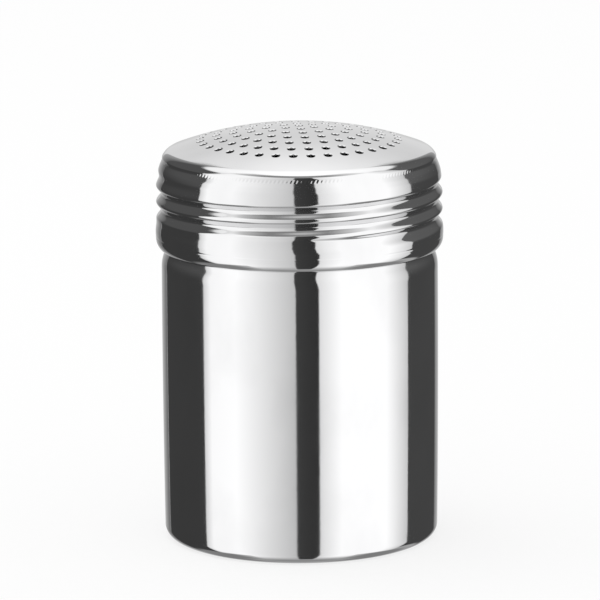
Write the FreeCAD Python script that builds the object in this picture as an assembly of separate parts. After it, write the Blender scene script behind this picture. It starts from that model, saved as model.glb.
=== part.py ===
import FreeCAD, Part
import math
import os

# Stainless steel shaker: a deep-drawn cup under a pressed, perforated screw lid.
# Millimetres, +Z up, origin at the centre of the base, front towards -Y.

# Sheet steel
sheet = 0.5

# Cup
cup_radius = 35.0
base_corner_radius = 2.8
recess_radius = 28.5
recess_depth = 0.6
recess_run = 1.4
rim_height = 97.53
neck_height = 26.33
neck_step = 1.15
neck_arc_radius = 3.0

# Fits between lid and cup
shoulder_clearance = 0.2
seat_gap = 0.15
skirt_clearance = 0.65

# Lid top, with the plate's edge this far inside the circle that the shoulder's rounding is centred on
dome_radius = 94.0
plate_margin = 3.4
fillet_radius = 3.5
fillet_angle = math.radians(38)
bevel_drop = 0.65
bevel_step = 0.39

# Lid side, each zone's height and its step outward, from the shoulder down
band_drop = 0.78
band_step = 0.05
flare_drop = 2.7
flare_step = 1.05
flare_bulge = 0.08
taper_drop = 2.55
taper_step = 0.345
wall_drop = 2.25
swell_drop = 1.8
swell_step = 0.21
skirt_drop = 3.05
skirt_step = 0.18
curl_radius = 2.1
curl_angle = math.radians(58)

# Rolled thread, drawn as ring grooves at the heights that its turns have in front
thread_pitch = 4.2
thread_depth = 1.27
thread_count = 2

# Dispensing holes, one in the middle and six more in each ring than in the last
hole_radius = 0.97
hole_side_count = 6
hole_overrun = 1.0
hole_margin = 2.98
ring_count = 6
ring_step_count = 6
first_ray_angle = -83.3

# Largest turn that one chord of a small arc takes
chord_angle = math.radians(31)

# Angles used throughout
full_turn_degrees = 360
full_turn = math.radians(full_turn_degrees)
half_turn = full_turn / 2
quarter_turn = full_turn / 4

# Derived from the values above
axis = FreeCAD.Vector(0, 0, 1)
level = FreeCAD.Vector(0, 1, 0)
centre = FreeCAD.Vector(0, 0, 0)
shoulder_height = rim_height - neck_height
neck_radius = cup_radius - neck_step
shoulder_radius = neck_radius + shoulder_clearance + sheet
fillet_centre_radius = shoulder_radius - bevel_step - fillet_radius * math.cos(fillet_angle)
plate_radius = fillet_centre_radius - plate_margin
ring_pitch = (plate_radius - hole_margin) / ring_count
shoulder_top = rim_height + seat_gap
fillet_height = shoulder_top + bevel_drop - fillet_radius * math.sin(fillet_angle)
centre_distance = dome_radius - fillet_radius
dome_angle = math.acos(fillet_centre_radius / centre_distance)
dome_centre_height = fillet_height - math.sqrt(centre_distance ** 2 - fillet_centre_radius ** 2)
dome_centre = axis * dome_centre_height
wall_radius = cup_radius + skirt_clearance + sheet

# The two faces of the sheet, by how far each lies from the outer one
outer_face = 0
inner_face = sheet


def place(radius, height):
    """Point of an outline in the XZ plane."""
    return FreeCAD.Vector(radius, 0, height)


def polar(middle, radius, angle):
    """Point at an angle from +X towards +Z round a centre in the XZ plane."""
    return middle + place(radius * math.cos(angle), radius * math.sin(angle))


def arc_points(middle, radius, start, end):
    """Evenly spaced points of a circular arc round a centre, both ends included."""
    chords = math.ceil(abs(end - start) / chord_angle)
    return [polar(middle, radius, start + (end - start) * i / chords) for i in range(chords + 1)]


def sheet_of_revolution(outer, inner):
    """Solid sheet turned about the axis, from the outlines of its two faces."""
    outline = Part.makePolygon(outer + inner[::-1] + outer[:1])
    return Part.Face(outline).revolve(centre, axis, full_turn_degrees)


def base_points(inset):
    """One face of the cup's base: recess, sloping step, standing ring and rounded corner."""
    corner_middle = place(cup_radius - base_corner_radius, base_corner_radius)
    recess = [
        place(0, recess_depth + inset),
        place(recess_radius, recess_depth + inset),
        place(recess_radius + recess_run, inset),
    ]
    return recess + arc_points(corner_middle, base_corner_radius - inset, -quarter_turn, 0)


def neck_points(inset):
    """One face of the cup's side above its corner: two equal arcs draw the wall in to the neck."""
    turn = math.acos(1 - neck_step / (neck_arc_radius + neck_arc_radius))
    rise = (neck_arc_radius + neck_arc_radius) * math.sin(turn)
    lower_middle = place(cup_radius - neck_arc_radius, shoulder_height)
    upper_middle = place(neck_radius + neck_arc_radius, shoulder_height + rise)
    lower = arc_points(lower_middle, neck_arc_radius - inset, 0, turn)
    upper = arc_points(upper_middle, neck_arc_radius + inset, half_turn + turn, half_turn)
    return lower + upper[1:] + [place(neck_radius - inset, rim_height)]


def make_cup():
    """Deep-drawn cup with a drawn-in neck and a shallow recess under its base."""
    outer, inner = [base_points(face) + neck_points(face) for face in (outer_face, inner_face)]
    return sheet_of_revolution(outer, inner)


def thread_points(inset, top):
    """One face of the threaded wall below its top: root and crest of each groove in turn."""
    points = []
    for groove in range(thread_count):
        crest_height = top.z - thread_pitch * groove
        points.append(place(wall_radius - inset - thread_depth, crest_height - thread_pitch / 2))
        points.append(place(wall_radius - inset, crest_height - thread_pitch))
    return points


def lid_points(inset):
    """One face of the lid's sheet, from the edge of the perforated plate out and down to the lip."""
    fillet_middle = place(fillet_centre_radius, fillet_height)
    band_top = place(shoulder_radius - inset, shoulder_top)
    band_foot = band_top + place(band_step, -band_drop)
    flare_foot = band_foot + place(flare_step, -flare_drop)
    flare_out = place(flare_drop, flare_step).normalize()
    flare_crown = (band_foot + flare_foot) / 2 + flare_out * flare_bulge
    thread_top = flare_foot + place(taper_step, -taper_drop)
    thread = thread_points(inset, thread_top)
    wall_foot = thread[-1] - place(0, wall_drop)
    skirt_top = wall_foot + place(swell_step, -swell_drop)
    skirt_foot = skirt_top - place(skirt_step, skirt_drop)
    curl_middle = skirt_foot - place(curl_radius - inset, 0)
    plate_edge = place(plate_radius, plate_height(inset))
    shoulder = arc_points(fillet_middle, fillet_radius - inset, dome_angle, fillet_angle)
    wall = [band_top, band_foot, flare_crown, flare_foot, thread_top] + thread + [wall_foot, skirt_top]
    curl = arc_points(curl_middle, curl_radius - inset, 0, -curl_angle)
    return [plate_edge] + shoulder + wall + curl


def plate_height(inset):
    """Height of one face of the dome at the edge of the perforated plate."""
    return dome_centre_height + math.sqrt((dome_radius - inset) ** 2 - plate_radius ** 2)


def make_ball(radius):
    """Ball about the dome's centre, turned so that its poles and seam lie away from the plate."""
    ball = Part.makeSphere(radius, dome_centre, level)
    ball.rotate(dome_centre, level, full_turn_degrees / 2)
    return ball


def make_plate():
    """Middle of the dome, cut from two balls on one centre, with every hole punched through."""
    column = Part.makeCylinder(plate_radius, dome_radius + dome_radius, dome_centre)
    return make_ball(dome_radius).cut(make_ball(dome_radius - sheet)).common(column).cut(make_holes())


def make_hole(ring, index):
    """Prism through the plate, square to the dome, as large in area as the round hole."""
    step = full_turn / hole_side_count
    corner_radius = hole_radius * math.sqrt(step / math.sin(step))
    foot = dome_centre + axis * (dome_radius - sheet - hole_overrun)
    corners = [foot + polar(centre, corner_radius, step * i) for i in range(hole_side_count + 1)]
    outline = Part.makePolygon(corners)
    outline.rotate(foot, FreeCAD.Vector(1, 0, 0), math.degrees(quarter_turn))
    prism = Part.Face(outline).extrude(axis * (sheet + hole_overrun + hole_overrun))
    tilt = math.degrees(math.asin(ring * ring_pitch / dome_radius))
    prism.rotate(dome_centre, level, tilt)
    if ring:
        turn = full_turn_degrees * index / (ring_step_count * ring)
        prism.rotate(centre, axis, first_ray_angle + turn)
    return prism


def make_holes():
    """The middle hole and every ring round it, all rings in line on one ray."""
    holes = [make_hole(0, 0)]
    for ring in range(1, ring_count + 1):
        holes += [make_hole(ring, index) for index in range(ring_step_count * ring)]
    return holes


def make_lid():
    """Pressed lid: perforated dome, rounded shoulder, threaded side and a skirt curled in at its foot."""
    return sheet_of_revolution(lid_points(outer_face), lid_points(inner_face)).fuse(make_plate())


os.makedirs("parts", exist_ok=True)
make_cup().exportStep("parts/cup.step")
make_lid().exportStep("parts/lid.step")
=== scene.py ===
import math

import bpy
import numpy as np
from bpy.props import FloatProperty, FloatVectorProperty, IntProperty, PointerProperty
from mathutils import Matrix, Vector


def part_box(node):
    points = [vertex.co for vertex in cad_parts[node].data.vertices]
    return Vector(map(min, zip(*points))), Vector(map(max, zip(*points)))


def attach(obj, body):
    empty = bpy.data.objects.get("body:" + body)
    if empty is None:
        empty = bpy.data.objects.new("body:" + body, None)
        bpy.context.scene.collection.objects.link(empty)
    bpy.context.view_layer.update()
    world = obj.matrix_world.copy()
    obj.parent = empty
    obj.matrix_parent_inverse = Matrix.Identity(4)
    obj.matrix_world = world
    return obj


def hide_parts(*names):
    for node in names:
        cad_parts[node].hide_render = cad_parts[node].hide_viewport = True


bl_info = {
    "name": "Steel Shaker",
    "version": (1, 0, 0),
    "blender": (4, 5, 0),
    "location": "View3D > Sidebar > Shaker",
    "description": "Mirror-polished shaker with a perforated screw lid, built round its solid model",
    "category": "Add Mesh",
}

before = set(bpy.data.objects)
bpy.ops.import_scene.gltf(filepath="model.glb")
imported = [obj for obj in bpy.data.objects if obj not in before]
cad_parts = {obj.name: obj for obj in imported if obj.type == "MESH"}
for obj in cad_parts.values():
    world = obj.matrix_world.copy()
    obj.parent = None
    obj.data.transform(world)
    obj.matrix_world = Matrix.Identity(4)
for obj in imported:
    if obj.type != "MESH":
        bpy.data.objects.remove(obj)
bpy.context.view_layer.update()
_, cup_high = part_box("cup")
_, lid_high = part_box("lid")

MM = 0.001
FULL_TURN = 2 * math.pi

# Holes that each ring has more than the ring inside it
RING_STEP = 6

# Corners of the lid's side, by their place in the list that side_corners gives
FLARE_MIDDLE, SKIRT_TOP, CREASE, SIDE_FOOT = 3, 7, 8, 9

# Rises in degrees over which the tent's plain parts change, and over which a panel's side edges lean
NADIR_RISES = (-84, -66)
HORIZON_RISES = (-8, 8)
ZENITH_RISES = (24, 72)
LEAN_RISES = (-12, 30)

# Panels of the light tent, each laid over the ones before it. Directions are in degrees: bearings to the
# right of the front, rises above level. A panel has its own glow at each of its bearings, where 1 is white,
# and fades in over its foot and out over its top. Its side edges may lean by some degrees over LEAN_RISES.
TENT_PANELS = (
    # Backdrop
    {"bearings": (147, 180, 213), "glows": (0.14, 0.75, 0.14), "foot": (-50, -20), "top": (-8, 8)},
    # Wings beside the backdrop
    {"bearings": (-164, -145), "glows": (0.4, 0.1), "foot": (-8, 4), "top": (44, 50)},
    {"bearings": (151, 164), "glows": (0.1, 0.4), "foot": (-8, 4), "top": (44, 50)},
    # Dark cards at the sides, each a little lighter in its upper half
    {"bearings": (-146, -86), "glows": (0.05, 0.05), "foot": (-46, -42), "top": (44, 49)},
    {"bearings": (-146, -86), "glows": (0.09, 0.09), "foot": (-4, 20), "top": (44, 49)},
    {"bearings": (100.5, 152), "glows": (0.065, 0.065), "foot": (-36, -32), "top": (44, 49)},
    {"bearings": (100.5, 152), "glows": (0.13, 0.11), "foot": (-4, 20), "top": (44, 49)},
    # Softboxes in front
    {"bearings": (-87, -79, -55, -4), "glows": (0.8, 1.2, 1.25, 0.64), "foot": (-72, -38), "top": (52, 58)},
    {"bearings": (14, 34, 76, 100.5), "glows": (0.87, 1.25, 1.25, 0.7), "foot": (-72, -38), "top": (52, 58)},
    # Dark table edges, low at the sides
    {"bearings": (-165, -75, -50), "glows": (0.25, 0.25, 0.6), "foot": (-74, -64), "top": (-46, -38)},
    {"bearings": (55, 78, 165), "glows": (0.6, 0.25, 0.25), "foot": (-74, -64), "top": (-46, -38)},
    # Dark card between the softboxes
    {"bearings": (-3.4, 15.5), "glows": (0.055, 0.035), "foot": (-74, -60), "top": (52, 58), "lean": -1.7},
    # Dim gap between the softboxes and the ceiling
    {
        "bearings": (-88, -70, -45, 35, 62, 84), "glows": (0.9, 0.6, 0.27, 0.27, 0.7, 1.0),
        "foot": (52, 58), "top": (66, 74),
    },
)


def length(name, description, default):
    """A size in metres, shown in the scene's own unit."""
    return FloatProperty(
        name=name, description=description, default=default, min=0, subtype="DISTANCE", unit="LENGTH"
    )


def angle(name, description, degrees):
    """An angle, kept in radians and shown in degrees."""
    return FloatProperty(name=name, description=description, default=math.radians(degrees), subtype="ANGLE")


def number(name, description, default):
    """A plain number that isn't negative."""
    return FloatProperty(name=name, description=description, default=default, min=0)


def colour(name, description, default):
    """A linear colour."""
    return FloatVectorProperty(
        name=name, description=description, default=default, min=0, max=1, size=3, subtype="COLOR"
    )


class ShakerCupSizes(bpy.types.PropertyGroup):
    """Sizes of the drawn cup"""

    sheet: length("Sheet", "Thickness of the steel", 0.5 * MM)
    radius: length("Radius", "Outer radius of the wall", cup_high.x)
    rim_height: length("Rim height", "Height of the cup's open edge", cup_high.z)
    corner_radius: length("Base corner", "Radius of the rounded foot", 2.8 * MM)
    recess_radius: length("Recess radius", "Radius of the flat middle of the base", 28.5 * MM)
    recess_depth: length("Recess depth", "Rise of the base above the table", 0.6 * MM)
    recess_arc_radius: length("Recess arc", "Radius of the two arcs round the recess", 1.0 * MM)
    shoulder_height: length("Shoulder height", "Height at which the wall starts to draw in", 69.6 * MM)
    neck_step: length("Neck step", "How far the neck is drawn in", 1.15 * MM)
    neck_arc_radius: length("Neck arc", "Radius of the two arcs of the shoulder", 9.0 * MM)
    belly: length("Belly", "How much wider the wall is at the belly than at its foot", 0.28 * MM)
    belly_height: length("Belly height", "Height at which the wall is widest", 48 * MM)
    bead_height: length("Thread bead", "How far the rolled thread stands out of the neck", 0.8 * MM)


class ShakerLidSizes(bpy.types.PropertyGroup):
    """Sizes of the pressed lid"""

    dome_radius: length("Dome radius", "Radius of the dome's curve", 94.0 * MM)
    fillet_radius: length("Shoulder radius", "Radius of the rounding between dome and side", 3.5 * MM)
    fillet_angle: angle("Shoulder end", "How far above level the rounding still faces where it ends", 27)
    shoulder_gap: length("Shoulder gap", "Room between the neck and the lid's inside", 0.2 * MM)
    shoulder_drop: length("Shoulder height", "Height from the rounding's end to the band", 0.084 * MM)
    shoulder_step: length("Shoulder step", "How far the band stands out of the rounding's end", 0.03 * MM)
    band_drop: length("Band height", "Height of the knurled band", 0.78 * MM)
    band_step: length("Band taper", "How much wider the band is at its foot", 0.05 * MM)
    flare_drop: length("Flare height", "Height of the flare under the band", 2.7 * MM)
    flare_step: length("Flare step", "How far the flare reaches out", 1.05 * MM)
    flare_bulge: length("Flare bulge", "How far the flare stands out of a straight cone", 0.08 * MM)
    taper_drop: length("Taper height", "Height of the taper above the thread", 3.7 * MM)
    wall_drop: length("Thread wall height", "Height of the wall that the thread is rolled into", 9.5 * MM)
    swell_drop: length("Swell height", "Height of the step out to the skirt", 1.8 * MM)
    swell_step: length("Swell step", "How far the skirt stands out of the wall", 0.21 * MM)
    skirt_drop: length("Skirt height", "Height of the skirt above its crease", 1.5 * MM)
    crease_drop: length("Crease height", "Height between the crease and the curl", 0.58 * MM)
    crease_step: length("Crease step", "How far the skirt draws in below its crease", 0.06 * MM)
    crease_depth: length("Crease depth", "Depth of the faint line round the skirt", 0.06 * MM)
    crease_width: length("Crease width", "Half the width of the faint line", 0.2 * MM)
    curl_radius: length("Curl radius", "Radius of the curled foot", 3.4 * MM)
    curl_angle: angle("Curl angle", "How far the foot is curled in", 52)
    corner_blend: length("Corner blend", "Height over which the side's corners are rounded", 0.5 * MM)


class ShakerThreadSizes(bpy.types.PropertyGroup):
    """Sizes of the rolled thread"""

    pitch: length("Pitch", "Rise of the thread in one turn", 4.2 * MM)
    depth: length("Depth", "Depth of the groove in the lid", 1.27 * MM)
    sharpness: number("Sharpness", "Share of a third wave that straightens the flanks", 0.03)
    start_height: length("Start height", "Height of the groove's middle on the +X side", 82.2 * MM)
    start_angle: angle("Start angle", "Where the groove begins", -125)
    run_in: angle("Run-in", "Angle over which the groove reaches its depth", 110)
    settling: angle("Settling", "Angle over which the groove's two flanks become alike", 170)
    upper_cut: number("Upper flank cut", "Share of the pitch that the upper flank lacks at the start", 0.26)
    lower_reach: number("Lower flank reach", "Share of the pitch that the lower flank gains there", 0.3)
    end_angle: angle("End angle", "Where the groove has faded out", 965)
    run_out: angle("Run-out", "Angle over which the groove fades out", 155)
    bead_start: angle("Bead start", "Where the bead on the neck begins", 60)
    bead_end: angle("Bead end", "Where the bead on the neck ends", 780)
    bead_run: angle("Bead run", "Angle over which the bead rises and fades", 60)


class ShakerHoleSizes(bpy.types.PropertyGroup):
    """Sizes of the dispensing holes"""

    radius: length("Hole radius", "Radius of each hole", 0.97 * MM)
    edge_radius: length("Edge rounding", "Radius of the punched edge", 0.24 * MM)
    rings: IntProperty(name="Rings", description="Rings of holes round the middle one", default=6, min=1)
    pitch: length("Ring pitch", "Distance from one ring to the next", 4.17 * MM)
    first_ray: angle("First ray", "Direction in which all rings are in line", -83.3)


class ShakerKnurlSizes(bpy.types.PropertyGroup):
    """Sizes of the knurl under the lid's shoulder"""

    teeth: IntProperty(name="Teeth", description="Ridges round the lid", default=216, min=3)
    steps: IntProperty(
        name="Steps", description="Mesh columns across one column of the plain side", default=6, min=1
    )
    depth: length("Depth", "Depth between the ridges", 0.023 * MM)
    top_height: length("Top", "Height of the knurl's upper edge", 97.55 * MM)
    foot_height: length("Foot", "Height of the knurl's lower edge", 96.5 * MM)
    lean: number("Lean", "Share of a tooth that the ridges lean over their height", 0.5)


class ShakerFinish(bpy.types.PropertyGroup):
    """Colours and texture of the polished steel"""

    steel: colour("Steel", "Colour of the polished steel", (0.80, 0.80, 0.805))
    smudge: colour("Smudge", "Colour where the polish is a little duller", (0.74, 0.74, 0.745))
    roughness: number("Roughness", "Roughness of the clean polish", 0.045)
    dull_roughness: number("Dull roughness", "Roughness of the duller patches", 0.085)
    grain_height: length("Grain height", "Height of the fine grain of the polish", 0.0022 * MM)
    wave_height: length("Wave height", "Height of the slow waves in the sheet", 0.009 * MM)


class ShakerStudio(bpy.types.PropertyGroup):
    """Camera, light tent and floor"""

    camera_back: length("Camera distance", "Distance of the camera in front of the axis", 1220.6 * MM)
    camera_height: length("Camera height", "Height of the camera above the floor", 311.0 * MM)
    camera_pitch: angle("Camera pitch", "How far the camera looks down", 11.60)
    camera_roll: angle("Camera roll", "How far the camera leans", -0.364)
    lens: number("Lens", "Focal length in millimetres on a 36 mm sensor", 294.9)
    tent_radius: length("Tent radius", "Distance from the shaker to the tent's fabric", 2.0)
    edge_softness: number("Edge softness", "Width in degrees of the panels' side edges", 0.9)
    sky_glow: number("Sky glow", "Brightness of the tent above the panels, where 1 is white", 0.77)
    zenith_glow: number("Zenith glow", "Brightness straight overhead", 1.3)
    ground_glow: number("Ground glow", "Brightness of what the steel sees far below", 0.44)
    nadir_glow: number("Nadir glow", "Brightness straight below", 0.3)
    floor: colour("Floor", "Colour of the floor", (0.97, 0.97, 0.97))
    floor_paint_share: number("Floor paint", "Share of the floor's white that takes shadows", 0.3)
    floor_white: number("Floor white", "White that the camera sees on the floor away from shadows", 1.01)
    daylight: number("Daylight", "Even light on the floor, where 1 is white", 0.86)
    lamp_share: number("Lamp share", "Light that the overhead lamp adds on the floor", 0.16)


class ShakerSettings(bpy.types.PropertyGroup):
    """Everything that the shaker is made from"""

    cup: PointerProperty(type=ShakerCupSizes)
    lid: PointerProperty(type=ShakerLidSizes)
    thread: PointerProperty(type=ShakerThreadSizes)
    holes: PointerProperty(type=ShakerHoleSizes)
    knurl: PointerProperty(type=ShakerKnurlSizes)
    finish: PointerProperty(type=ShakerFinish)
    studio: PointerProperty(type=ShakerStudio)


def settings():
    """The settings of the scene being built."""
    return bpy.context.scene.shaker


def ease(low, high, value):
    """Smooth rise from 0 at low to 1 at high: three times the square less twice the cube."""
    share = np.clip((value - low) / (high - low), 0, 1)
    return share * share * (3 - 2 * share)


def turned(radius, height, turn):
    """Surface of revolution: radius and height (rows, or rows by columns) carried round by the angles."""
    radius = np.broadcast_to(np.reshape(radius, (len(height), -1)), (len(height), len(turn)))
    height = np.broadcast_to(np.reshape(height, (len(height), -1)), radius.shape)
    return np.stack([radius * np.cos(turn), radius * np.sin(turn), height], axis=-1)


def arc(middle, radius, start, end, rows):
    """Points of a circular arc in the outline's plane: the middle plus the radius times cosine and sine."""
    angles = np.linspace(start, end, rows)
    return np.stack([middle[0] + radius * np.cos(angles), middle[1] + radius * np.sin(angles)], axis=-1)


def line(start, end, rows):
    """Evenly spaced points from start to end in the outline's plane."""
    return np.array(start) + (np.array(end) - np.array(start)) * np.linspace(0, 1, rows)[:, None]


def quads_of(rows, columns):
    """Corner numbers of the cells of a grid, row by row."""
    index = np.arange(rows * columns).reshape(rows, columns)
    return np.stack([index[:-1, :-1], index[:-1, 1:], index[1:, 1:], index[1:, :-1]], axis=-1).reshape(-1, 4)


def welded_mesh(name, patches):
    """Mesh of several grids, joined where points coincide; a cell narrowed by a pole is a triangle."""
    points, quads, base = [], [], 0
    for patch in patches:
        rows, columns = patch.shape[:2]
        points.append(patch.reshape(-1, 3))
        quads.append(quads_of(rows, columns) + base)
        base += rows * columns
    points, quads = np.vstack(points), np.vstack(quads)
    # Points in one step coincide; the offset keeps round values such as zero away from the steps' edges
    weld_step, offset = 1e-7, 0.123
    keys = np.floor(points / weld_step + offset).astype(np.int64)
    _, first, number_of = np.unique(keys, axis=0, return_index=True, return_inverse=True)
    quads = number_of.reshape(-1)[quads]
    points = points[first]
    same = quads == np.roll(quads, -1, axis=1)
    whole = quads[~same.any(axis=1)]
    narrow, narrow_same = quads[same.sum(axis=1) == 1], same[same.sum(axis=1) == 1]
    triangles = narrow[~narrow_same].reshape(-1, 3)
    mesh = bpy.data.meshes.new(name)
    mesh.from_pydata(points.tolist(), [], whole.tolist() + triangles.tolist())
    mesh.polygons.foreach_set("use_smooth", np.ones(len(mesh.polygons), bool))
    mesh.update()
    return mesh, points


def shown(name, mesh, body, node, material):
    """Object for a mesh that rides on a body, stands for a solid and wears a material."""
    piece = bpy.data.objects.new(name, mesh)
    bpy.context.scene.collection.objects.link(piece)
    mesh.materials.append(material)
    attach(piece, body)
    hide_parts(node)
    return piece


def helix_share(height, turn, start, end, run_in, run_out, lift, settling=1):
    """Share of a rolled thread's full depth at each height and angle.

    The thread climbs by one pitch in a turn. Across the pitch the share is half of one plus a cosine wave,
    which a little of the third wave above it makes straighter in its flanks. Near the start the upper flank
    is short and the lower one long. Along the thread the share eases in and out at the two ends.
    """
    thread = settings().thread
    share = np.zeros((len(height), len(turn)))
    first = math.floor((start - FULL_TURN) / FULL_TURN)
    for lap in range(first, math.ceil(end / FULL_TURN) + 1):
        along = turn + lap * FULL_TURN
        middle = thread.start_height + thread.pitch * (along / FULL_TURN) + lift
        fall = 0.5 - (height[:, None] - middle) / thread.pitch
        young = 1 - ease(start, start + settling, along)
        upper, lower = 0.5 - thread.upper_cut * young, 0.5 + thread.lower_reach * young
        stage = np.where(fall < upper, fall / upper - 1, (fall - upper) / lower)
        wave = np.cos(math.pi * stage) + thread.sharpness * np.cos(3 * math.pi * stage)
        profile = np.where(abs(stage) < 1, (1 + wave / (1 + thread.sharpness)) / 2, 0)
        share += profile * ease(start, start + run_in, along) * (1 - ease(end - run_out, end, along))
    return share


def groove_depth(height, turn):
    """Depth of the lid's groove at each height and angle: its full depth times the thread's share there."""
    thread = settings().thread
    return thread.depth * helix_share(
        height, turn, thread.start_angle, thread.end_angle, thread.run_in, thread.run_out, 0, thread.settling
    )


def bead_rise(height, turn):
    """Rise of the neck's bead: its full height times the share of a thread half a pitch above the groove."""
    thread = settings().thread
    return settings().cup.bead_height * helix_share(
        height, turn, thread.bead_start, thread.bead_end, thread.bead_run, thread.bead_run, thread.pitch / 2
    )


def belly_share(height):
    """Share of the cup's radius at each height: one, less the belly times its middle's distance squared."""
    cup = settings().cup
    away = np.minimum(height, cup.shoulder_height) / cup.belly_height - 1
    return 1 - cup.belly / cup.radius * away ** 2


def cup_face(inset, turn, rows):
    """One face of the cup from the middle of the base up to its rim, as a grid.

    An outline of lines and arcs has its radii multiplied by the belly's share and is turned about the axis.
    The inset lays it that far into the sheet. On the neck the bead's rise is added to the radius.
    """
    cup = settings().cup
    neck_radius = cup.radius - cup.neck_step
    quarter = FULL_TURN / 4
    step_turn = math.acos(1 - cup.recess_depth / (2 * cup.recess_arc_radius))
    step_run = 2 * cup.recess_arc_radius * math.sin(step_turn)
    draw_turn = math.acos(1 - cup.neck_step / (2 * cup.neck_arc_radius))
    draw_rise = 2 * cup.neck_arc_radius * math.sin(draw_turn)
    recess_middle = (cup.recess_radius, cup.recess_depth - cup.recess_arc_radius)
    stand_middle = (cup.recess_radius + step_run, cup.recess_arc_radius)
    corner_middle = (cup.radius - cup.corner_radius, cup.corner_radius)
    lower_middle = (cup.radius - cup.neck_arc_radius, cup.shoulder_height)
    upper_middle = (neck_radius + cup.neck_arc_radius, cup.shoulder_height + draw_rise)
    small = rows["small"]
    recess_arc = arc(recess_middle, cup.recess_arc_radius + inset, quarter, quarter - step_turn, small)
    stand_arc = arc(stand_middle, cup.recess_arc_radius - inset, -quarter - step_turn, -quarter, small)
    corner_arc = arc(corner_middle, cup.corner_radius - inset, -quarter, 0, rows["corner"])
    lower_arc = arc(lower_middle, cup.neck_arc_radius - inset, 0, draw_turn, rows["shoulder"])
    upper_arc = arc(
        upper_middle, cup.neck_arc_radius + inset, 2 * quarter + draw_turn, 2 * quarter, rows["shoulder"]
    )
    rim_foot = cup.rim_height - cup.sheet / 2
    outline = [
        line((0, cup.recess_depth + inset), recess_arc[0], rows["flat"]),
        recess_arc[1:],
        stand_arc[1:],
        line(stand_arc[-1], corner_arc[0], small)[1:],
        corner_arc[1:],
        line(corner_arc[-1], lower_arc[0], rows["wall"])[1:],
        lower_arc[1:],
        upper_arc[1:],
    ]
    plain = np.vstack(outline)
    plain[:, 0] *= belly_share(plain[:, 1])
    neck = line(upper_arc[-1], (neck_radius - inset, rim_foot), rows["neck"])[1:]
    neck[:, 0] *= belly_share(neck[:, 1])
    neck_surface = turned(neck[:, :1] + bead_rise(neck[:, 1], turn), neck[:, 1], turn)
    return np.vstack([turned(plain[:, 0], plain[:, 1], turn), neck_surface])


def side_corners(inset):
    """Heights and radii of the corners of the lid's side, from the rounded shoulder's end to the curl.

    A corner's height is that of the shoulder's centre less the sum of the drops down to it.
    """
    lid = settings().lid
    across, height = fillet_middle()
    end_radius = across + lid.fillet_radius * math.cos(lid.fillet_angle)
    band_radius = end_radius + lid.shoulder_step + lid.band_step
    skirt_radius = lid_high.x
    wall_radius = skirt_radius - lid.swell_step
    steps = [
        (-lid.fillet_radius * math.sin(lid.fillet_angle), end_radius),
        (lid.shoulder_drop, end_radius + lid.shoulder_step),
        (lid.band_drop, band_radius),
        (lid.flare_drop / 2, band_radius + lid.flare_step / 2 + lid.flare_bulge),
        (lid.flare_drop / 2, band_radius + lid.flare_step),
        (lid.taper_drop, wall_radius),
        (lid.wall_drop, wall_radius),
        (lid.swell_drop, skirt_radius),
        (lid.skirt_drop, skirt_radius),
        (lid.crease_drop, skirt_radius - lid.crease_step),
    ]
    drops, radii = np.array(steps).T
    return height - np.cumsum(drops), radii - inset


def side_radius(height, inset):
    """Radius of the lid's side at each height: its corners joined by lines, averaged over the blend."""
    lid = settings().lid
    heights, radii = side_corners(inset)
    reach = np.minimum(lid.corner_blend, np.minimum(heights[0] - height, height - heights[SIDE_FOOT]))
    blend_samples = 15
    samples = np.linspace(-1, 1, blend_samples)
    weights = 1 + np.cos(samples * math.pi)
    around = height[:, None] + np.maximum(reach, 0)[:, None] * samples
    smooth = np.interp(around, heights[::-1], radii[::-1]) @ (weights / weights.sum())
    return smooth - lid.crease_depth * np.exp(-(((height - heights[CREASE]) / lid.crease_width) ** 2))


def fillet_middle():
    """Centre of the lid's rounded shoulder, placed so that the rounding runs on smoothly from the dome.

    Its distance from the dome's centre is the dome's radius less the rounding's.
    """
    cup, lid = settings().cup, settings().lid
    band_radius = cup.radius - cup.neck_step + lid.shoulder_gap + cup.sheet
    across = band_radius - lid.shoulder_step - lid.fillet_radius * math.cos(lid.fillet_angle)
    dome_middle = lid_high.z - lid.dome_radius
    return across, dome_middle + math.sqrt((lid.dome_radius - lid.fillet_radius) ** 2 - across ** 2)


def lid_top(inset, turn, rows):
    """One face of the lid from the plate's edge over the shoulder: two arcs that touch, turned."""
    lid, holes = settings().lid, settings().holes
    middle = fillet_middle()
    dome_middle = (0, lid_high.z - lid.dome_radius)
    plate_reach = (holes.rings + 0.5) * holes.pitch
    plate_slope = math.acos(plate_reach / lid.dome_radius)
    shoulder_slope = math.acos(middle[0] / (lid.dome_radius - lid.fillet_radius))
    dome = arc(dome_middle, lid.dome_radius - inset, plate_slope, shoulder_slope, rows["dome"])
    fillet = arc(middle, lid.fillet_radius - inset, shoulder_slope, lid.fillet_angle, rows["fillet"])
    top = np.vstack([dome, fillet[1:]])
    return turned(top[:, 0], top[:, 1], turn)


def lid_side(inset, turn, height):
    """One face of the lid's side at the given heights: its radius less the groove's depth, turned."""
    radius = side_radius(height, inset)[:, None] - groove_depth(height, turn)
    return turned(radius, height, turn)


def lid_foot(inset, turn, rows):
    """One face of the curled foot: an arc through the curl's angle, turned."""
    lid = settings().lid
    heights, radii = side_corners(inset)
    middle = (radii[SIDE_FOOT] - lid.curl_radius + inset, heights[SIDE_FOOT])
    curl = arc(middle, lid.curl_radius - inset, 0, -lid.curl_angle, rows)
    return turned(curl[:, 0], curl[:, 1], turn)


def side_heights(low, high, step):
    """Heights from high down to low, evenly spaced by about one step."""
    return np.linspace(high, low, math.ceil((high - low) / step) + 1)


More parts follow.
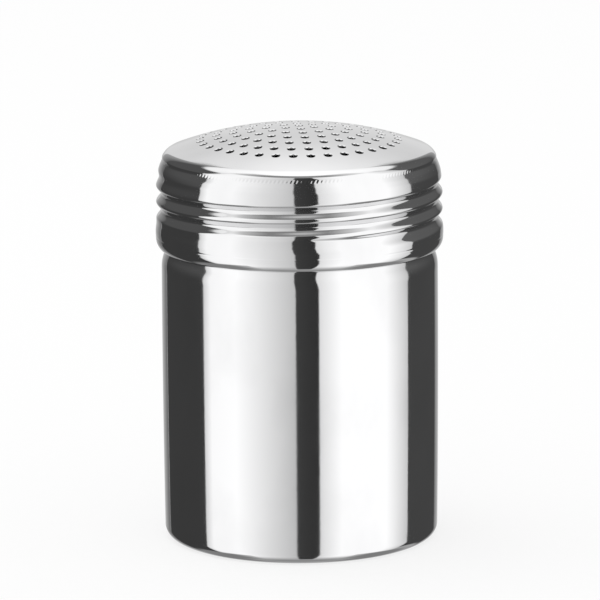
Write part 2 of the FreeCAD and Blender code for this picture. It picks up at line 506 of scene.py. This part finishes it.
def knurl_band(turn, rows):
    """Knurled band of the lid's outer face: a leaning cosine wave round the lid that fades at both edges.

    The band has more columns than the plain side. Its first and last rows repeat the plain side's points, so
    that the two join in triangles.
    """
    knurl = settings().knurl
    fine = np.linspace(turn[0], turn[-1], (len(turn) - 1) * knurl.steps + 1)
    height = np.linspace(knurl.top_height, knurl.foot_height, rows)
    share = np.linspace(0, 1, rows)[:, None]
    fade = 0.3
    edge = ease(0, fade, share) * (1 - ease(1 - fade, 1, share))
    phase = knurl.teeth * fine + FULL_TURN * knurl.lean * share
    valley = knurl.depth * (1 - np.cos(phase)) / 2 * edge
    band = turned(side_radius(height, 0)[:, None] - valley, height, fine)
    nearest = (np.arange(len(fine)) + knurl.steps // 2) // knurl.steps
    plain = lid_side(0, turn, height[[0, -1]])
    return np.vstack([plain[:1, nearest], band[1:-1], plain[1:, nearest]])


def border_steps(ring, columns):
    """Steps along the inner border, each side and the outer border of a cell of one ring.

    Where two rings meet, both have equally many steps in all. The last ring's cells have as many on their
    outer border as the plain side has columns beside them.
    """
    unit, side = 2, 8
    if ring == 0:
        return 0, 0, 2 * RING_STEP * unit
    inner = 2 * unit if ring == 1 else (ring - 1) * unit
    outer = columns if ring == settings().holes.rings else (ring + 1) * unit
    return inner, side, outer


def plate_cells(ring, columns):
    """Perforated plate round every hole of one ring, as one grid per hole.

    A cell reaches halfway to the next ring and to the next hole. Its border is walked once round, and each
    border point is joined to the point of the hole's edge in the same direction. From there the grid goes
    round the punched edge, down the hole's wall and back out to the border on the inner face.
    """
    lid, holes, sheet = settings().lid, settings().holes, settings().cup.sheet
    inner_steps, side_steps, outer_steps = border_steps(ring, columns)
    hole_count = max(RING_STEP * ring, 1)
    half = FULL_TURN / hole_count / 2
    low, high = max(ring - 0.5, 0) * holes.pitch, (ring + 0.5) * holes.pitch
    if ring == 0:
        reach = np.full(outer_steps + 1, high)
        swing = np.linspace(-half, half, outer_steps + 1)
    else:
        reach = np.concatenate([
            np.full(outer_steps, high),
            np.linspace(high, low, side_steps, endpoint=False),
            np.full(inner_steps, low),
            np.linspace(low, high, side_steps + 1),
        ])
        swing = np.concatenate([
            np.linspace(-half, half, outer_steps, endpoint=False),
            np.full(side_steps, half),
            np.linspace(half, -half, inner_steps, endpoint=False),
            np.full(side_steps + 1, -half),
        ])
    ray = holes.first_ray + FULL_TURN * np.arange(hole_count) / hole_count
    direction = ray[:, None] + swing
    border = np.stack([
        reach * np.cos(direction), reach * np.sin(direction),
        np.broadcast_to(np.sqrt(lid.dome_radius ** 2 - reach ** 2), direction.shape),
    ], axis=-1) / lid.dome_radius
    tilt = math.asin(ring * holes.pitch / lid.dome_radius)
    level, rise = math.sin(tilt), math.cos(tilt)
    along = np.stack([level * np.cos(ray), level * np.sin(ray), np.full(hole_count, rise)], axis=-1)
    down = np.stack([rise * np.cos(ray), rise * np.sin(ray), np.full(hole_count, -level)], axis=-1)
    across = np.cross(along, down)
    bearing = np.arctan2(np.einsum("nbk,nk->nb", border, across), np.einsum("nbk,nk->nb", border, down))
    spoke = np.cos(bearing)[..., None] * down[:, None] + np.sin(bearing)[..., None] * across[:, None]

    def edge_ring(radius, depth):
        """Points at a distance from the hole's own line and a depth under the dome."""
        distance = np.sqrt((lid.dome_radius - depth) ** 2 - radius ** 2)
        return spoke * radius + along[:, None] * distance

    rounding_rows = 4
    rounding = np.linspace(0, FULL_TURN / 4, rounding_rows)
    rings = [border * lid.dome_radius]
    for lean in rounding:
        rings.append(edge_ring(
            holes.radius + holes.edge_radius * (1 - math.sin(lean)), holes.edge_radius * (1 - math.cos(lean))
        ))
    rings.append(edge_ring(holes.radius, sheet))
    rings.append(border * (lid.dome_radius - sheet))
    cells = np.stack(rings, axis=1)
    cells[..., 2] += lid_high.z - lid.dome_radius
    return list(cells)


def dome_normals(mesh, points):
    """Gives each point of the dome's outer face the exact direction away from the dome's centre."""
    lid = settings().lid
    normals = np.zeros(len(mesh.vertices) * 3)
    mesh.vertices.foreach_get("normal", normals)
    normals = normals.reshape(-1, 3)
    outward = points - np.array([0, 0, lid_high.z - lid.dome_radius])
    distance = np.linalg.norm(outward, axis=1)
    nearness = 1e-8
    on_dome = abs(distance - lid.dome_radius) < nearness
    normals[on_dome] = outward[on_dome] / distance[on_dome, None]
    mesh.normals_split_custom_set_from_vertices(normals.tolist())


def steel_material(name, seed):
    """Polished sheet steel: duller patches, a fine grain and slow waves, all on object coordinates."""
    finish = settings().finish
    material = bpy.data.materials.new(name)
    material.use_nodes = True
    nodes, links = material.node_tree.nodes, material.node_tree.links
    shader = nodes["Principled BSDF"]
    shader.inputs["Metallic"].default_value = 1.0
    place = nodes.new("ShaderNodeTexCoord")

    def noise(label, scale, stretch, detail):
        """Noise over the piece, stretched along its height."""
        mapping = nodes.new("ShaderNodeMapping")
        mapping.inputs["Scale"].default_value = (scale, scale, scale * stretch)
        mapping.inputs["Location"].default_value = (seed, seed / 2, seed / 3)
        texture = nodes.new("ShaderNodeTexNoise")
        texture.label = label
        texture.inputs["Scale"].default_value = 1.0
        texture.inputs["Detail"].default_value = detail
        links.new(place.outputs["Object"], mapping.inputs["Vector"])
        links.new(mapping.outputs["Vector"], texture.inputs["Vector"])
        return texture.outputs["Fac"]

    def between(value, low, high, start, end):
        """Map Range from low..high to start..end."""
        node = nodes.new("ShaderNodeMapRange")
        node.inputs["From Min"].default_value = low
        node.inputs["From Max"].default_value = high
        node.inputs["To Min"].default_value = start
        node.inputs["To Max"].default_value = end
        links.new(value, node.inputs["Value"])
        return node.outputs["Result"]

    def bump(height, distance, normal=None):
        """Bump node of a given height in metres."""
        node = nodes.new("ShaderNodeBump")
        node.inputs["Strength"].default_value = 1.0
        node.inputs["Distance"].default_value = distance
        links.new(height, node.inputs["Height"])
        if normal is not None:
            links.new(normal, node.inputs["Normal"])
        return node.outputs["Normal"]

    patches = noise("dull patches", scale=45, stretch=0.7, detail=4)
    grain = noise("grain of the polish", scale=1100, stretch=0.8, detail=3)
    waves = noise("slow waves", scale=55, stretch=0.6, detail=1)
    dullness = between(patches, low=0.45, high=0.7, start=0, end=1)
    roughness = between(patches, low=0.4, high=0.7, start=finish.roughness, end=finish.dull_roughness)
    tint = nodes.new("ShaderNodeMix")
    tint.data_type = "RGBA"
    tint.inputs["A"].default_value = (*finish.steel, 1)
    tint.inputs["B"].default_value = (*finish.smudge, 1)
    links.new(dullness, tint.inputs["Factor"])
    links.new(tint.outputs["Result"], shader.inputs["Base Color"])
    links.new(roughness, shader.inputs["Roughness"])
    waved = bump(waves, finish.wave_height)
    links.new(bump(grain, finish.grain_height, waved), shader.inputs["Normal"])
    return material


def floor_material():
    """Floor paint: a share of it takes light and shadow, and the rest is plain white to the camera."""
    studio = settings().studio
    material = bpy.data.materials.new("floor_paint")
    material.use_nodes = True
    nodes, links = material.node_tree.nodes, material.node_tree.links
    shader = nodes["Principled BSDF"]
    paint = [studio.floor_paint_share * value for value in studio.floor]
    shader.inputs["Base Color"].default_value = (*paint, 1)
    shader.inputs["Roughness"].default_value = 1.0
    shader.inputs["Specular IOR Level"].default_value = 0.0
    shader.inputs["Emission Color"].default_value = (1, 1, 1, 1)
    path = nodes.new("ShaderNodeLightPath")
    white = nodes.new("ShaderNodeMath")
    white.operation = "MULTIPLY"
    white.inputs[1].default_value = studio.floor_white - studio.floor_paint_share
    links.new(path.outputs["Is Camera Ray"], white.inputs[0])
    links.new(white.outputs["Value"], shader.inputs["Emission Strength"])
    return material


def glow_material():
    """Tent fabric that shines as brightly as the glow stored on its points."""
    material = bpy.data.materials.new("tent_fabric")
    material.use_nodes = True
    nodes, links = material.node_tree.nodes, material.node_tree.links
    nodes.remove(nodes["Principled BSDF"])
    emission = nodes.new("ShaderNodeEmission")
    glow = nodes.new("ShaderNodeAttribute")
    glow.attribute_name = "glow"
    links.new(glow.outputs["Fac"], emission.inputs["Strength"])
    links.new(emission.outputs["Emission"], nodes["Material Output"].inputs["Surface"])
    material.cycles.emission_sampling = "NONE"
    return material


def tent_glow(bearing, rise):
    """Brightness of the light tent by direction, in degrees.

    The ground darkens straight below, the sky eases in above it, and every panel is laid over what is there.
    """
    studio = settings().studio
    sky = studio.sky_glow + (studio.zenith_glow - studio.sky_glow) * ease(*ZENITH_RISES, rise)
    ground = studio.nadir_glow + (studio.ground_glow - studio.nadir_glow) * ease(*NADIR_RISES, rise)
    glow = ground + (sky - ground) * ease(*HORIZON_RISES, rise)
    soft = studio.edge_softness / 2
    for panel in TENT_PANELS:
        left, right = panel["bearings"][0], panel["bearings"][-1]
        middle = (left + right) / 2
        lean = panel.get("lean", 0) * ease(*LEAN_RISES, rise)
        across = (bearing - middle + 180) % 360 - 180 + middle - lean
        share = ease(left - soft, left + soft, across) * (1 - ease(right - soft, right + soft, across))
        share = share * ease(*panel["foot"], rise) * (1 - ease(*panel["top"], rise))
        glow = glow + (np.interp(across, panel["bearings"], panel["glows"]) - glow) * share
    return glow


class SHAKER_OT_cup(bpy.types.Operator):
    """Builds the drawn cup with its rolled neck thread"""

    bl_idname = "shaker.cup"
    bl_label = "Build cup"

    def execute(self, context):
        cup = settings().cup
        columns, rim_rows = 252, 7
        turn = np.linspace(0, FULL_TURN, columns + 1)
        outer_rows = {"flat": 8, "small": 6, "corner": 14, "wall": 20, "shoulder": 9, "neck": 110}
        inner_rows = {"flat": 8, "small": 4, "corner": 9, "wall": 12, "shoulder": 7, "neck": 72}
        outer = cup_face(0, turn, outer_rows)
        inner = cup_face(cup.sheet, turn, inner_rows)
        rim_middle = (cup.radius - cup.neck_step - cup.sheet / 2, cup.rim_height - cup.sheet / 2)
        edge = arc(rim_middle, cup.sheet / 2, 0, FULL_TURN / 2, rim_rows)
        rim = turned(edge[:, 0] * belly_share(edge[:, 1]), edge[:, 1], turn)
        mesh, _ = welded_mesh("cup_shell", [np.vstack([outer, rim[1:-1], inner[::-1]])])
        shown("cup_shell", mesh, "cup_body", "cup", steel_material("cup_polish", seed=1.7))
        return {"FINISHED"}


class SHAKER_OT_lid(bpy.types.Operator):
    """Builds the pressed lid with its perforated dome, knurl, rolled thread and curled foot"""

    bl_idname = "shaker.lid"
    bl_label = "Build lid"

    def execute(self, context):
        holes = settings().holes
        cell_columns = 7
        last_ring = RING_STEP * holes.rings
        around = np.linspace(0, FULL_TURN, last_ring * cell_columns + 1)
        turn = holes.first_ray - FULL_TURN / (2 * last_ring) + around
        patches = self.outer_patches(turn) + [self.inner_patch(turn), self.lip_patch(turn)]
        for ring in range(holes.rings + 1):
            patches += plate_cells(ring, cell_columns)
        mesh, points = welded_mesh("lid_shell", patches)
        dome_normals(mesh, points)
        shown("lid_shell", mesh, "lid_body", "lid", steel_material("lid_polish", seed=5.3))
        return {"FINISHED"}

    def outer_patches(self, turn):
        """Outer face from the plate down to the lip; rows run upward so that the faces look outward."""
        knurl = settings().knurl
        rows = {"dome": 5, "fillet": 14, "knurl": 9, "curl": 13}
        steps = {"above knurl": 0.1 * MM, "flare": 0.14 * MM, "thread": 0.186 * MM, "skirt": 0.1 * MM}
        heights, _ = side_corners(0)
        above = side_heights(knurl.top_height, heights[0], steps["above knurl"])
        side = np.concatenate([
            side_heights(heights[FLARE_MIDDLE], knurl.foot_height, steps["flare"]),
            side_heights(heights[SKIRT_TOP], heights[FLARE_MIDDLE], steps["thread"])[1:],
            side_heights(heights[SIDE_FOOT], heights[SKIRT_TOP], steps["skirt"])[1:],
        ])
        upper = np.vstack([lid_top(0, turn, rows), lid_side(0, turn, above[1:])])
        lower = np.vstack([lid_side(0, turn, side), lid_foot(0, turn, rows["curl"])[1:]])
        return [upper[::-1], knurl_band(turn, rows["knurl"])[::-1], lower[::-1]]

    def inner_patch(self, turn):
        """Inner face from the plate down to the lip."""
        sheet = settings().cup.sheet
        rows = {"dome": 3, "fillet": 8, "curl": 8}
        steps = {"flare": 0.4 * MM, "thread": 0.37 * MM, "skirt": 0.5 * MM}
        heights, _ = side_corners(sheet)
        side = np.concatenate([
            side_heights(heights[FLARE_MIDDLE], heights[0], steps["flare"])[1:],
            side_heights(heights[SKIRT_TOP], heights[FLARE_MIDDLE], steps["thread"])[1:],
            side_heights(heights[SIDE_FOOT], heights[SKIRT_TOP], steps["skirt"])[1:],
        ])
        foot = lid_foot(sheet, turn, rows["curl"])[1:]
        return np.vstack([lid_top(sheet, turn, rows), lid_side(sheet, turn, side), foot])

    def lip_patch(self, turn):
        """Rounded edge of the sheet at the foot: half a circle from the outer to the inner face, turned."""
        lid, sheet = settings().lid, settings().cup.sheet
        rows = 5
        heights, radii = side_corners(0)
        reach = lid.curl_radius - sheet / 2
        middle = (
            radii[SIDE_FOOT] - lid.curl_radius + reach * math.cos(lid.curl_angle),
            heights[SIDE_FOOT] - reach * math.sin(lid.curl_angle),
        )
        edge = arc(middle, sheet / 2, -lid.curl_angle, -lid.curl_angle - FULL_TURN / 2, rows)
        return turned(edge[:, 0], edge[:, 1], turn)[::-1]


class SHAKER_OT_stage(bpy.types.Operator):
    """Builds the floor, the light tent, the lamp and the camera"""

    bl_idname = "shaker.stage"
    bl_label = "Build stage"

    def execute(self, context):
        self.make_floor()
        self.make_tent()
        self.make_world(context.scene)
        self.make_lamp()
        self.make_camera(context.scene)
        context.scene.view_settings.view_transform = "Standard"
        return {"FINISHED"}

    def make_floor(self):
        """Plain pale floor, a disc that is seen by the camera and takes the shaker's shadow."""
        studio = settings().studio
        reach, rings, columns = 4 * studio.tent_radius, 11, 48
        radius = np.linspace(0, reach, rings + 1)
        turn = np.linspace(0, FULL_TURN, columns + 1)
        mesh, _ = welded_mesh("floor", [turned(radius, np.zeros(len(radius)), turn)])
        mesh.materials.append(floor_material())
        floor = bpy.data.objects.new("floor", mesh)
        bpy.context.scene.collection.objects.link(floor)
        floor.visible_glossy = False

    def make_tent(self):
        """Light tent: a ball of fabric that only the steel reflects, bright and dark by direction."""
        studio = settings().studio
        columns, rows = 720, 120
        bearing = np.linspace(-180, 180, columns + 1)
        rise = np.linspace(-90, 90, rows + 1)
        turn = np.radians(bearing) - FULL_TURN / 4
        level = np.radians(rise)
        points = turned(studio.tent_radius * np.cos(level), studio.tent_radius * np.sin(level), turn)
        mesh, welded = welded_mesh("tent", [points])
        bearing_of = np.degrees(np.arctan2(welded[:, 0], -welded[:, 1]))
        rise_of = np.degrees(np.arcsin(np.clip(welded[:, 2] / studio.tent_radius, -1, 1)))
        glow = mesh.attributes.new("glow", "FLOAT", "POINT")
        glow.data.foreach_set("value", tent_glow(bearing_of, rise_of).astype(np.float32))
        mesh.materials.append(glow_material())
        tent = bpy.data.objects.new("tent", mesh)
        bpy.context.scene.collection.objects.link(tent)
        tent.visible_camera = tent.visible_diffuse = tent.visible_shadow = False

    def make_world(self, scene):
        """White to the camera and even daylight on the floor."""
        studio = settings().studio
        world = bpy.data.worlds.new("studio")
        world.use_nodes = True
        nodes, links = world.node_tree.nodes, world.node_tree.links
        background = nodes["Background"]
        background.inputs["Color"].default_value = (1, 1, 1, 1)
        path = nodes.new("ShaderNodeLightPath")
        strength = nodes.new("ShaderNodeMapRange")
        strength.inputs["To Min"].default_value = studio.daylight
        strength.inputs["To Max"].default_value = 1.0
        links.new(path.outputs["Is Camera Ray"], strength.inputs["Value"])
        links.new(strength.outputs["Result"], background.inputs["Strength"])
        scene.world = world

    def make_lamp(self):
        """Large soft lamp overhead, which the steel doesn't show.

        Its power lights a white floor below it to the lamp's share of white.
        """
        studio = settings().studio
        height_share = 0.8
        side = studio.tent_radius / 2
        height = studio.tent_radius * height_share
        light = bpy.data.lights.new("overhead_lamp", "AREA")
        light.shape = "SQUARE"
        light.size = side
        light.energy = studio.lamp_share * math.pi * math.pi * height ** 2
        lamp = bpy.data.objects.new("overhead_lamp", light)
        lamp.location = (-side / 2, side / 4, height)
        lamp.rotation_euler = (-math.atan2(side / 4, height), -math.atan2(side / 2, height), 0)
        lamp.visible_glossy = False
        bpy.context.scene.collection.objects.link(lamp)

    def make_camera(self, scene):
        """Camera at the photograph's place: in front, a little above, looking down on the shaker."""
        studio = settings().studio
        data = bpy.data.cameras.new("camera")
        data.lens = studio.lens
        data.sensor_width = 36
        data.clip_end = 20 * studio.tent_radius
        camera = bpy.data.objects.new("camera", data)
        camera.location = (0, -studio.camera_back, studio.camera_height)
        tilt = Matrix.Rotation(math.pi / 2 - studio.camera_pitch, 3, "X")
        camera.rotation_euler = (tilt @ Matrix.Rotation(studio.camera_roll, 3, "Z")).to_euler()
        scene.collection.objects.link(camera)
        scene.camera = camera


class SHAKER_PT_panel(bpy.types.Panel):
    """Lists the shaker's pieces and the sizes that they are made from"""

    bl_label = "Steel Shaker"
    bl_idname = "SHAKER_PT_panel"
    bl_space_type = "VIEW_3D"
    bl_region_type = "UI"
    bl_category = "Shaker"

    def draw(self, context):
        for operator in OPERATORS:
            self.layout.operator(operator.bl_idname)
        for group in GROUPS:
            values = getattr(context.scene.shaker, group)
            box = self.layout.box()
            box.label(text=group.capitalize())
            for name in values.__annotations__:
                box.prop(values, name)


GROUPS = ("cup", "lid", "thread", "holes", "knurl", "finish", "studio")
PROPERTY_CLASSES = (
    ShakerCupSizes, ShakerLidSizes, ShakerThreadSizes, ShakerHoleSizes, ShakerKnurlSizes, ShakerFinish,
    ShakerStudio, ShakerSettings,
)
OPERATORS = (SHAKER_OT_cup, SHAKER_OT_lid, SHAKER_OT_stage)


def register():
    """Registers every class and hangs the settings on the scene."""
    for cls in (*PROPERTY_CLASSES, *OPERATORS, SHAKER_PT_panel):
        bpy.utils.register_class(cls)
    bpy.types.Scene.shaker = PointerProperty(type=ShakerSettings)


def unregister():
    """Takes the settings off the scene and unregisters every class."""
    del bpy.types.Scene.shaker
    for cls in reversed((*PROPERTY_CLASSES, *OPERATORS, SHAKER_PT_panel)):
        bpy.utils.unregister_class(cls)


def main():
    """Builds every piece and the stage."""
    register()
    bpy.ops.shaker.cup()
    bpy.ops.shaker.lid()
    bpy.ops.shaker.stage()


if __name__ == "__main__":
    main()
